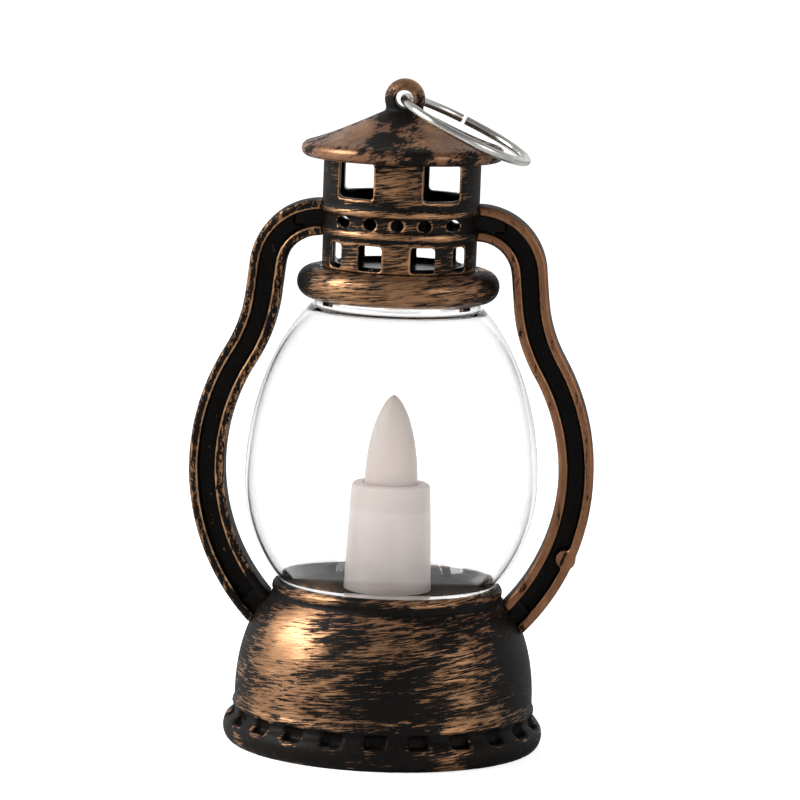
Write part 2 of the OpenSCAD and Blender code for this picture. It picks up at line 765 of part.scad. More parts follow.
module arm_run(p, angle, length) {
    heading_from(p, angle) rotate([90, 0, 90]) linear_extrude(length) arm_section(joint_step);
}

module top_tenon(room = 0) {
    straight_bar([chimney_bore + 0.3 - room, arm_top_z], 0, arm_w, tenon + [2 * room, 2 * room]);
}

module foot_tenon(room = 0) {
    along = [cos(foot_heading), sin(foot_heading)];
    straight_bar(belly_end - 5 * along, foot_heading, 8 + room, tenon + [2 * room, 2 * room]);
}

module arm() {
    difference() {
        union() {
            arm_run([chimney_bore, arm_top_z], 0, bend_x - chimney_bore + joint_lap);
            arm_bend(bend_centre, bend_r, 90 - bend_a, bend_a);
            arm_run(straight_start - joint_lap * [cos(bend_a), -sin(bend_a)], -bend_a,
                arm_straight + 2 * joint_lap);
            arm_bend(waist_centre, waist_r, 270 - bend_a, waist_a);
            arm_bend(belly_centre, belly_r, foot_heading + 90,
                belly_a + joint_lap / belly_r * 180 / PI, joint_step);
        }
        base_outer(cope);
        chimney_outer(cope);
    }
    top_tenon();
    foot_tenon();
}

module left_arm() color(black_bronze) mirror([1, 0, 0]) arm();

module right_arm() color(black_bronze) {
    arm();
    heading_from(belly_centre, mark_angle) translate([belly_r + 1.7, 0, 0])
        cylinder(r = mark_r, h = arm_d / 2 - 0.3);
}

// The ring is open: its two ends face each other across a small gap
module hanging_ring() color(steel) {
    translate([0, 0, eye_z]) rotate([0, ring_tilt, 0]) rotate([ring_lean, 0, 0]) translate([ring_r, 0, 0])
        rotate(180 - gap_angle + ring_gap / 2) rotate_extrude(angle = 360 - ring_gap)
            translate([ring_r, 0]) circle(r = wire_r, $fn = 32);
}

base_housing();
bottom_cover();
cover_screws();
battery_door();
door_screws();
button_cells();
contact_spring();
contact_plate();
circuit_board();
control_chip();
resistor();
switch_body();
switch_knob();
red_lead();
black_lead();
led_wires();
led_leads();
led_lens();
led_holder();
candle_sleeve();
flame_tip();
retaining_ring();
globe();
globe_cap();
chimney();
roof();
left_arm();
right_arm();
hanging_ring();
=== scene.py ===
"""Looks of the battery candle lantern: worn bronze mouldings, clear globe, candle, ring, light and camera.

Lengths in the classes are millimetres, and MM turns them to Blender's metres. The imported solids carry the
sizes: a piece that replaces a solid is shaped from a copy of it, or turned between the ends of its box.
"""
import json
import logging
import math
from dataclasses import dataclass, field
from enum import Enum
from typing import Any, Protocol, Sequence

import bpy
import numpy as np
from mathutils import Matrix, Vector

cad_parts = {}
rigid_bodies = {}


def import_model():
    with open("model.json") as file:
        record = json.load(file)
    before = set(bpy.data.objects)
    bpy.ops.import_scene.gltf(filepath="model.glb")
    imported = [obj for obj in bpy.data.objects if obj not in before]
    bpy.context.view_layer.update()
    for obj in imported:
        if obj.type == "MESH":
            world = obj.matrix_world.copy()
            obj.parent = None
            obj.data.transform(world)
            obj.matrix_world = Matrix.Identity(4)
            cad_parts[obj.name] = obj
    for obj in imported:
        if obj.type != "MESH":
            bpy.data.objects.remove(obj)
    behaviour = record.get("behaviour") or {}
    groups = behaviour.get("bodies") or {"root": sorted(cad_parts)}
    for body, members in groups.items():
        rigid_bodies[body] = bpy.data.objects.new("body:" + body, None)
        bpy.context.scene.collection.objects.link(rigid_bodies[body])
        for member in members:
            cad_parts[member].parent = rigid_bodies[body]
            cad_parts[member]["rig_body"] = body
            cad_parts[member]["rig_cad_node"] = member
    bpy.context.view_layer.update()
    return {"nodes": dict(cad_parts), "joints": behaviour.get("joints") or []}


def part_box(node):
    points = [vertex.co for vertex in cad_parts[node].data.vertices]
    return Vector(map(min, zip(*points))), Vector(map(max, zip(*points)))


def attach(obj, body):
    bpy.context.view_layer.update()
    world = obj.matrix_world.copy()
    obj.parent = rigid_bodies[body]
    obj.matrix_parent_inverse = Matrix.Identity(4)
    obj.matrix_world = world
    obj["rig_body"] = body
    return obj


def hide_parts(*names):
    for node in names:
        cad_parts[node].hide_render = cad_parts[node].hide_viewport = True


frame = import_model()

MM = 0.001
BODY = "lantern"
LOG = logging.getLogger("lantern")
Point = tuple[float, float]
Place = tuple[float, float, float]
Tree = bpy.types.NodeTree
Node = bpy.types.Node


class Slot(str, Enum):
    """Material slots of the record, given for each new piece."""

    BRONZE = "bronze"
    COPPER = "copper"
    CANDLE = "candle"
    FLAME = "flame"
    GLOBE = "clear_globe"
    ZINC = "zinc_steel"


class Strokes(Enum):
    """Which way the dry brush ran: its streaks and its scratches in millimetres, and their turn in degrees.

    Real scratches are finer than a pixel of the render, and are drawn about 0.15 mm wide.
    """

    AROUND = ((4.6, 4.6, 0.36), (3.4, 3.4, 0.15), (0.0, -7.0, 0.0))
    ALONG_ARM = ((1.1, 1.1, 3.4), (0.36, 0.36, 0.7), (0.0, 0.0, 0.0))
    ACROSS_ROOF = ((3.0, 3.0, 0.8), (1.1, 1.1, 0.28), (0.0, -24.0, 0.0))


def linear(code: str) -> tuple[float, float, float, float]:
    """Turns an sRGB hex colour to linear light.

    Args:
        code: Six hex digits after a hash.

    Returns:
        Red, green, blue and a full alpha.
    """
    parts = [int(code[i : i + 2], 16) / 255 for i in (1, 3, 5)]
    light = [p / 12.92 if p <= 0.04045 else ((p + 0.055) / 1.055) ** 2.4 for p in parts]
    return (light[0], light[1], light[2], 1.0)


def add_node(tree: Tree, kind: str, links: dict[Any, Any] | None = None, **settings: Any) -> Node:
    """Adds one node to a tree.

    Args:
        tree: The node tree.
        kind: The node's type name without its ShaderNode prefix.
        links: Input name or number, with a value, or the socket or node that feeds it.
        **settings: The node's own properties.

    Returns:
        The new node.
    """
    node = tree.nodes.new("ShaderNode" + kind)
    for name, value in settings.items():
        setattr(node, name, value)
    for name, value in (links or {}).items():
        if isinstance(value, bpy.types.Node):
            value = next(socket for socket in value.outputs if socket.enabled)
        if isinstance(value, bpy.types.NodeSocket):
            tree.links.new(value, node.inputs[name])
        else:
            node.inputs[name].default_value = value
    return node


def marks(
    tree: Tree, size: Place, detail: float = 3.0, breakup: float = 0.6, turn: Place = (0.0, 0.0, 0.0)
) -> Node:
    """Scatters soft marks of a real size over a piece.

    Args:
        tree: The node tree.
        size: Size of the marks along X, Y and Z, in millimetres.
        detail: Number of finer layers in them.
        breakup: Strength of each finer layer.
        turn: Rotation of the marks, in degrees.

    Returns:
        A node that gives about 0.25 to 0.75.
    """
    place = add_node(tree, "TexCoord").outputs["Object"]
    links = {"Vector": place, "Rotation": [math.radians(t) for t in turn], "Scale": [s * MM for s in size]}
    cells = add_node(tree, "Mapping", links, vector_type="TEXTURE")
    links = {"Vector": cells, "Scale": 1.0, "Detail": detail, "Roughness": breakup, "Distortion": 0.4}
    return add_node(tree, "TexNoise", links)


def finished(name: str, tree_of: Any) -> bpy.types.Material:
    """Makes a material from the inputs of its shader.

    Args:
        name: The material's name.
        tree_of: Function that fills a node tree and returns the shader's inputs.

    Returns:
        The material.
    """
    material = bpy.data.materials.new(name)
    material.use_nodes = True
    tree = material.node_tree
    tree.nodes.clear()
    shader = add_node(tree, "BsdfPrincipled", tree_of(tree))
    add_node(tree, "OutputMaterial", {"Surface": shader})
    return material


class Finish(Protocol):
    """A finish that a piece or a CAD node can wear."""

    name: str

    def inputs(self, tree: Tree) -> dict[str, Any]:
        """Fills the tree and gives the shader's inputs."""


@dataclass(frozen=True)
class Patch:
    """A place where the brush left more copper, or less.

    Attributes:
        at: Centre, in millimetres.
        reach: Radius over which it fades, in millimetres.
        amount: Added to the share of copper, below 0 for bare black.
    """

    at: Place
    reach: float
    amount: float


@dataclass(frozen=True)
class Band:
    """A level band where the brush left more copper, or less.

    Attributes:
        low: Its lower side, in millimetres.
        high: Its upper side, in millimetres.
        amount: Added to the share of copper, below 0 for bare black.
    """

    low: float
    high: float
    amount: float


# Black-brown ABS from a polished mould, dry-brushed by hand with copper lacquer: satin black that shows as
# fine scratches through soft metallic streaks, with bright copper on the edges that the brush caught.
@dataclass(frozen=True)
class DryBrushedBronze:
    """Copper lacquer, dry-brushed over black-brown ABS.

    Attributes:
        name: The material's name.
        cover: Share of copper before edges and patches.
        edge: How strongly the raised edges keep copper.
        edges_from: Curvature where a raised edge begins and where it is full, per millimetre.
        grit: How strongly the streaks break the copper up.
        bore: Radius about the Z axis inside which the brush never came, in millimetres.
        deck: Height under which the bore is dull, in millimetres.
        rim: Copper added where the part stands far out to the front or rear.
        rim_at: Distance from the middle plane where that begins, in millimetres.
        strokes: Way the brush ran.
        patches: Places with more or less copper.
        bands: Level bands with more or less copper.
        black: Colour of the plastic.
        dusty: Colour of the plastic where it is dull.
        copper: Colour of the paint where it is thin.
        bright: Colour of the paint where it is thick.
    """

    name: str
    cover: float = 0.0
    edge: float = 0.5
    edges_from: Point = (0.12, 0.6)
    grit: float = 1.0
    bore: float = 0.0
    deck: float = 0.0
    rim: float = 0.0
    rim_at: float = 2.6
    strokes: Strokes = Strokes.AROUND
    patches: tuple[Patch, ...] = ()
    bands: tuple[Band, ...] = ()
    black: str = "#0B0806"
    dusty: str = "#19130F"
    copper: str = "#8E684C"
    bright: str = "#D3A376"

    def share(self, tree: Tree) -> Node:
        """Works out the share of copper from streaks, edges, rims and patches: above 0 there is paint."""
        streak, scratch, turn = self.strokes.value
        clouds = marks(tree, (streak[0] * 1.6, streak[1] * 1.6, streak[2] * 7.0), 2.0, 0.5, turn)
        streaks = marks(tree, streak, 6.0, 0.72, turn)
        scratches = marks(tree, scratch, 4.0, 0.7, turn)
        worn = add_node(tree, "Attribute", attribute_name="worn").outputs["Fac"]
        raised = add_node(
            tree, "MapRange",
            {0: worn, 1: self.edges_from[0], 2: self.edges_from[1], 3: self.cover, 4: self.cover + self.edge},
            interpolation_type="SMOOTHSTEP",
        )
        hollow = add_node(tree, "MapRange", {0: worn, 1: -0.45, 2: -0.1, 3: -0.9, 4: 0.0})
        terms = [raised, hollow]
        for layer, depth in ((clouds, 0.6), (streaks, 1.2 * self.grit), (scratches, 1.0 * self.grit)):
            ends = {0: layer, 1: 0.0, 2: 1.0, 3: -depth, 4: depth}
            terms.append(add_node(tree, "MapRange", ends, clamp=False))
        terms += self.places(tree)
        total = terms[0]
        for term in terms[1:]:
            total = add_node(tree, "Math", {0: total, 1: term}, operation="ADD")
        return total

    def past_bore(self, tree: Tree, inside: Any, outside: float) -> Node:
        """Gives one value inside the bore and another outside it."""
        place = add_node(tree, "TexCoord").outputs["Object"]
        flat = add_node(tree, "VectorMath", {0: place, 1: (1, 1, 0)}, operation="MULTIPLY")
        radius = add_node(tree, "VectorMath", {0: flat}, operation="LENGTH").outputs["Value"]
        ends = {0: radius, 1: (self.bore - 0.2) * MM, 2: (self.bore + 0.2) * MM, 3: inside, 4: outside}
        return add_node(tree, "MapRange", ends)

    def height(self, tree: Tree) -> bpy.types.NodeSocket:
        """Gives the height above the floor, in metres."""
        place = add_node(tree, "TexCoord").outputs["Object"]
        return add_node(tree, "SeparateXYZ", {0: place}).outputs["Z"]

    def places(self, tree: Tree) -> list[Node]:
        """Gives the terms that depend on the place: patches, the bore and the rims."""
        place = add_node(tree, "TexCoord").outputs["Object"]
        terms = []
        for patch in self.patches:
            centre = [c * MM for c in patch.at]
            far = add_node(tree, "VectorMath", {0: place, 1: centre}, operation="DISTANCE")
            ends = {0: far, 1: 0.15 * patch.reach * MM, 2: patch.reach * MM, 3: patch.amount, 4: 0.0}
            terms.append(add_node(tree, "MapRange", ends, interpolation_type="SMOOTHSTEP"))
        if self.bore:
            terms.append(self.past_bore(tree, -3.0, 0.0))
        for band in self.bands:
            middle, half = (band.low + band.high) / 2, (band.high - band.low) / 2
            far = add_node(tree, "Math", {0: self.height(tree), 1: middle * MM}, operation="SUBTRACT")
            far = add_node(tree, "Math", {0: far}, operation="ABSOLUTE")
            ends = {0: far, 1: (half - 0.25) * MM, 2: (half + 0.25) * MM, 3: band.amount, 4: 0.0}
            terms.append(add_node(tree, "MapRange", ends))
        if self.rim:
            depth = add_node(tree, "SeparateXYZ", {0: place}).outputs["Y"]
            depth = add_node(tree, "Math", {0: depth}, operation="ABSOLUTE")
            ends = {0: depth, 1: self.rim_at * MM, 2: (self.rim_at + 0.5) * MM, 3: 0.0, 4: self.rim}
            terms.append(add_node(tree, "MapRange", ends))
        return terms

    def inputs(self, tree: Tree) -> dict[str, Any]:
        """Fills the tree: paint over plastic, with the paint's thickness and the mould's grain as relief."""
        share = self.share(tree)
        paint = add_node(tree, "MapRange", {0: share, 1: -0.03, 2: 0.09})
        lit = add_node(tree, "MapRange", {0: marks(tree, (7.0, 7.0, 4.5)), 1: 0.36, 2: 0.62, 3: 0.25, 4: 1.0})
        thick = add_node(tree, "MapRange", {0: share, 1: 0.0, 2: 0.8})
        thick = add_node(tree, "Math", {0: thick, 1: lit}, operation="MULTIPLY")
        dull = add_node(tree, "MapRange", {0: marks(tree, (1.1, 1.1, 1.1)), 1: 0.45, 2: 0.75})
        ends = {0: dull, 6: linear(self.black), 7: linear(self.dusty)}
        under = add_node(tree, "Mix", ends, data_type="RGBA")
        ends = {0: thick, 6: linear(self.copper), 7: linear(self.bright)}
        coat = add_node(tree, "Mix", ends, data_type="RGBA")
        grain = marks(tree, (0.42, 0.42, 0.42))
        relief = add_node(tree, "Math", {0: paint, 1: 1.6, 2: grain}, operation="MULTIPLY_ADD")
        bump = add_node(tree, "Bump", {"Strength": 0.35, "Distance": 0.05 * MM, "Height": relief})
        matt = add_node(tree, "MapRange", {0: grain, 1: 0.3, 2: 0.7, 3: 0.46, 4: 0.64})
        if self.bore:
            ends = {0: self.height(tree), 1: (self.deck + 0.1) * MM, 2: (self.deck + 0.4) * MM, 3: 1.25, 4: 0.35}
            polish = self.past_bore(tree, add_node(tree, "MapRange", ends), 1.0)
            matt = add_node(tree, "Math", {0: matt, 1: polish}, operation="MULTIPLY")
        gloss = add_node(tree, "MapRange", {0: grain, 1: 0.3, 2: 0.7, 3: 0.3, 4: 0.46})
        return {
            "Base Color": add_node(tree, "Mix", {0: paint, 6: under, 7: coat}, data_type="RGBA"),
            "Metallic": add_node(tree, "Math", {0: paint, 1: 0.75}, operation="MULTIPLY"),
            "Roughness": add_node(tree, "Mix", {0: paint, 2: matt, 3: gloss}, data_type="FLOAT"),
            "Specular IOR Level": 0.14,
            "Normal": bump,
        }


# Clear polystyrene, blow-moulded: bright and smooth, so the eye finds it by its dark rims and faint waves.
@dataclass(frozen=True)
class ClearStyrene:
    """Clear blow-moulded polystyrene."""

    name: str = "clear_polystyrene_moulded"

    def inputs(self, tree: Tree) -> dict[str, Any]:
        """Fills the tree with the mould's faint waves."""
        waves = marks(tree, (26.0, 26.0, 20.0), 2.0)
        return {
            "Base Color": (1.0, 1.0, 1.0, 1.0),
            "Transmission Weight": 1.0,
            "Roughness": 0.0,
            "IOR": 1.49,
            "Normal": add_node(tree, "Bump", {"Strength": 0.06, "Distance": 0.4 * MM, "Height": waves}),
        }


# Translucent polypropylene, injection-moulded: a soft waxy sheen, light that goes a little way in, flow marks, and
# painted shade at the top of a wall that nothing backs.
@dataclass(frozen=True)
class CandlePlastic:
    """Milky translucent plastic.

    Attributes:
        name: The material's name.
        colour: Its usual colour.
        flow_and_shade_colour: Its colour in the flow marks, and the painted shade above painted_shade_from.
        depth: How far light goes in, in millimetres.
        weight: Share of light that goes in.
        painted_shade_from: Height above which nothing backs the wall and its colour is drawn towards painted shade, in
            millimetres.
    """

    name: str
    colour: str
    flow_and_shade_colour: str
    depth: float = 2.0
    weight: float = 0.35
    painted_shade_from: float = 1000.0

    def inputs(self, tree: Tree) -> dict[str, Any]:
        """Fills the tree with flow marks, a fine sheen and painted shade on the wall's upper end."""
        flow = add_node(tree, "MapRange", {0: marks(tree, (8.0, 8.0, 20.0)), 1: 0.35, 2: 0.7, 3: 0.0, 4: 0.6})
        # Painted shade: above the given height the colour is drawn 40 % of the way to the darker colour, where nothing
        # backs the wall; the flow marks below are real.
        height = add_node(tree, "SeparateXYZ", {0: add_node(tree, "TexCoord").outputs["Object"]}).outputs["Z"]
        ends = {0: height, 1: (self.painted_shade_from - 0.5) * MM, 2: (self.painted_shade_from + 0.5) * MM, 3: 0.0, 4: 0.4}
        flow_and_painted_shade = add_node(tree, "Math", {0: flow, 1: add_node(tree, "MapRange", ends)}, operation="ADD", use_clamp=True)
        grain = marks(tree, (0.6, 0.6, 0.6), 2.0)
        return {
            "Base Color": add_node(
                tree, "Mix", {0: flow_and_painted_shade, 6: linear(self.colour), 7: linear(self.flow_and_shade_colour)}, data_type="RGBA"
            ),
            "Subsurface Weight": self.weight,
            "Subsurface Radius": (1.0, 0.85, 0.7),
            "Subsurface Scale": self.depth * MM,
            "Roughness": add_node(tree, "MapRange", {0: grain, 1: 0.3, 2: 0.7, 3: 0.28, 4: 0.4}),
            "IOR": 1.49,
            "Normal": add_node(tree, "Bump", {"Strength": 0.12, "Distance": 0.06 * MM, "Height": grain}),
        }


# Zinc or nickel plate on drawn wire or pressed sheet: bright, a little cloudy, with small dark pits.
@dataclass(frozen=True)
class PlatedMetal:
    """Plated steel.

    Attributes:
        name: The material's name.
        colour: Its usual colour.
        dull: Its colour where the plate is cloudy.
        roughness: How rough it is on average.
        pitted: How dark its pits are.
    """

    name: str
    colour: str
    dull: str
    roughness: float = 0.28
    pitted: float = 0.6

    def inputs(self, tree: Tree) -> dict[str, Any]:
        """Fills the tree with clouds and pits."""
        clouds = marks(tree, (2.8, 2.8, 2.8), 4.0)
        pits = marks(tree, (0.45, 0.45, 0.45))
        cloudy = add_node(tree, "MapRange", {0: clouds, 1: 0.35, 2: 0.7})
        plate = add_node(tree, "Mix", {0: cloudy, 6: linear(self.colour), 7: linear(self.dull)}, data_type="RGBA")
        spots = add_node(tree, "MapRange", {0: pits, 1: 0.64, 2: 0.72, 3: 0.0, 4: self.pitted})
        rough = {0: clouds, 1: 0.3, 2: 0.7, 3: self.roughness - 0.06, 4: self.roughness + 0.14}
        return {
            "Base Color": add_node(tree, "Mix", {0: spots, 6: plate, 7: linear("#3B3833")}, data_type="RGBA"),
            "Metallic": 1.0,
            "Roughness": add_node(tree, "MapRange", rough),
            "Normal": add_node(tree, "Bump", {"Strength": 0.25, "Distance": 0.05 * MM, "Height": pits}),
        }


# Opaque ABS, acetal or PVC, injection-moulded or extruded: one colour under a fine grain, paler where handled.
@dataclass(frozen=True)
class MouldedPlastic:
    """Plain coloured plastic.

    Attributes:
        name: The material's name.
        colour: Its usual colour.
        worn: Its colour where it is rubbed.
        roughness: How rough it is on average.
    """

    name: str
    colour: str
    worn: str
    roughness: float = 0.45

    def inputs(self, tree: Tree) -> dict[str, Any]:
        """Fills the tree with wear and grain."""
        wear = add_node(tree, "MapRange", {0: marks(tree, (4.0, 4.0, 4.0), 4.0), 1: 0.45, 2: 0.75})
        grain = marks(tree, (0.33, 0.33, 0.33), 2.0)
        rough = {0: grain, 1: 0.3, 2: 0.7, 3: self.roughness - 0.05, 4: self.roughness + 0.1}
        return {
            "Base Color": add_node(
                tree, "Mix", {0: wear, 6: linear(self.colour), 7: linear(self.worn)}, data_type="RGBA"
            ),
            "Roughness": add_node(tree, "MapRange", rough),
            "Normal": add_node(tree, "Bump", {"Strength": 0.3, "Distance": 0.05 * MM, "Height": grain}),
        }


def deselect_all() -> None:
    """Deselects every object."""
    bpy.ops.object.select_all(action="DESELECT")


def span(node: str) -> tuple[Vector, Vector]:
    """Gives the lowest and highest corners of a CAD node, in millimetres."""
    low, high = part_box(node)
    return low / MM, high / MM


def settle(piece: bpy.types.Object, slot: Slot, finish: Finish, body: str, *nodes: str) -> None:
    """Puts a finished piece at the origin, dresses it and lets it ride on its body.

    Args:
        piece: The finished mesh object, alone in the selection.
        slot: Material slot of the record; not used.
        finish: Its finish.
        body: CAD body that it moves with.
        *nodes: CAD nodes that it stands for.
    """
    bpy.ops.object.transform_apply(location=True, rotation=True, scale=True)
    piece.data.materials.clear()
    piece.data.materials.append(finished(finish.name, finish.inputs))
    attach(piece, body)
    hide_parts(*nodes)
    LOG.info("%s: %d faces", piece.name, len(piece.data.polygons))


def apply_modifier(piece: bpy.types.Object, kind: str, **settings: Any) -> None:
    """Adds a modifier and applies it at once.

    Args:
        piece: The active mesh object.
        kind: The modifier's type.
        **settings: Its properties.
    """
    modifier = piece.modifiers.new(kind.lower(), kind)
    for name, value in settings.items():
        setattr(modifier, name, value)
    bpy.ops.object.modifier_apply(modifier=modifier.name)


def lathe(name: str, outline: Sequence[Point], steps: int) -> bpy.types.Object:
    """Turns a closed outline round the Z axis, by extruding a vertex along it and spinning it.

    Args:
        name: The piece's name.
        outline: Radius and height of each corner, in millimetres; the last joins the first.
        steps: Number of steps of the spin.

    Returns:
        The turned piece, merged and with its faces outwards.
    """
    deselect_all()
    start = outline[0]
    bpy.ops.mesh.primitive_plane_add(size=MM, location=(start[0] * MM, 0, start[1] * MM))
    piece = bpy.context.object
    piece.name = name
    bpy.ops.object.mode_set(mode="EDIT")
    bpy.ops.mesh.select_all(action="SELECT")
    bpy.ops.mesh.merge(type="CENTER")
    for here, there in zip(outline, [*outline[1:], start]):
        step = ((there[0] - here[0]) * MM, 0, (there[1] - here[1]) * MM)
        bpy.ops.mesh.extrude_vertices_move(TRANSFORM_OT_translate={"value": step})
    bpy.ops.mesh.select_all(action="SELECT")
    bpy.ops.mesh.spin(steps=steps, angle=2 * math.pi, center=(0, 0, 0), axis=(0, 0, 1))
    bpy.ops.mesh.select_all(action="SELECT")
    bpy.ops.mesh.remove_doubles(threshold=0.002 * MM)
    bpy.ops.mesh.normals_make_consistent(inside=False)
    bpy.ops.object.mode_set(mode="OBJECT")
    bpy.ops.object.shade_smooth_by_angle(angle=math.radians(40))
    return piece


def softened_copy(node: str, name: str, voxel: float, rounds: int) -> bpy.types.Object:
    """Copies a CAD node and rounds its edges as a moulding's are, under their coat of paint.

    Args:
        node: The CAD node.
        name: The piece's name.
        voxel: Size of the new faces, in millimetres.
        rounds: How many times the surface is smoothed.

    Returns:
        The copy, merged, rebuilt with even faces and smoothed.
    """
    deselect_all()
    source = frame["nodes"][node]
    source.select_set(True)
    bpy.context.view_layer.objects.active = source
    bpy.ops.object.duplicate()
    piece = bpy.context.object
    bpy.ops.object.parent_clear(type="CLEAR_KEEP_TRANSFORM")
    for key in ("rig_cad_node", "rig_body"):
        del piece[key]
    piece.name = name
    bpy.ops.object.mode_set(mode="EDIT")
    bpy.ops.mesh.select_all(action="SELECT")
    bpy.ops.mesh.remove_doubles(threshold=0.001 * MM)
    bpy.ops.object.mode_set(mode="OBJECT")
    apply_modifier(piece, "REMESH", mode="VOXEL", voxel_size=voxel * MM, use_smooth_shade=True)
    apply_modifier(piece, "SMOOTH", factor=0.5, iterations=rounds)
    bpy.ops.object.shade_smooth()
    return piece


def mean_of_neighbours(values: np.ndarray, pairs: np.ndarray) -> np.ndarray:
    """Averages a value over each vertex's neighbours.

    Args:
        values: One row for each vertex.
        pairs: Vertex pairs of the edges.

    Returns:
        The averages, in the same shape.
    """
    total = np.zeros_like(values)
    np.add.at(total, pairs[:, 0], values[pairs[:, 1]])
    np.add.at(total, pairs[:, 1], values[pairs[:, 0]])
    counts = np.maximum(np.bincount(pairs.ravel(), minlength=len(values)), 1)
    return (total.T / counts).T


def mark_wear(piece: bpy.types.Object, spread: int = 2) -> None:
    """Writes how far each vertex stands out, per millimetre, to the attribute worn: edges above 0, corners below.

    Args:
        piece: A piece with even faces.
        spread: How many times the value is averaged over the neighbours.
    """
    mesh = piece.data
    places = np.empty(len(mesh.vertices) * 3)
    normals = np.empty(len(mesh.vertices) * 3)
    pairs = np.empty(len(mesh.edges) * 2, np.int32)
    mesh.vertices.foreach_get("co", places)
    mesh.vertex_normals.foreach_get("vector", normals)
    mesh.edges.foreach_get("vertices", pairs)
    places, normals, pairs = places.reshape(-1, 3) / MM, normals.reshape(-1, 3), pairs.reshape(-1, 2)
    length = float(np.linalg.norm(places[pairs[:, 0]] - places[pairs[:, 1]], axis=1).mean())
    pull = mean_of_neighbours(places, pairs) - places
    bend = -(pull * normals).sum(axis=1) * 2 / length**2
    for _ in range(spread):
        bend = 0.5 * bend + 0.5 * mean_of_neighbours(bend, pairs)
    mesh.attributes.new("worn", "FLOAT", "POINT").data.foreach_set("value", bend.astype(np.float32))


@dataclass
class Moulding:
    """A worn bronze moulding that follows one CAD node.

    Attributes:
        node: The CAD node that it stands for.
        name: The piece's name.
        slot: Material slot of the record.
        finish: Its dry-brushed finish.
        voxel: Size of its faces, in millimetres.
        rounds: How many times it is smoothed.
        spread: How far the wear spreads from an edge.
    """

    node: str
    name: str
    slot: Slot
    finish: DryBrushedBronze
    voxel: float = 0.26
    rounds: int = 3
    spread: int = 2

    def build(self) -> None:
        """Builds and dresses the moulding."""
        piece = softened_copy(self.node, self.name, self.voxel, self.rounds)
        mark_wear(piece, self.spread)
        settle(piece, self.slot, self.finish, BODY, self.node)


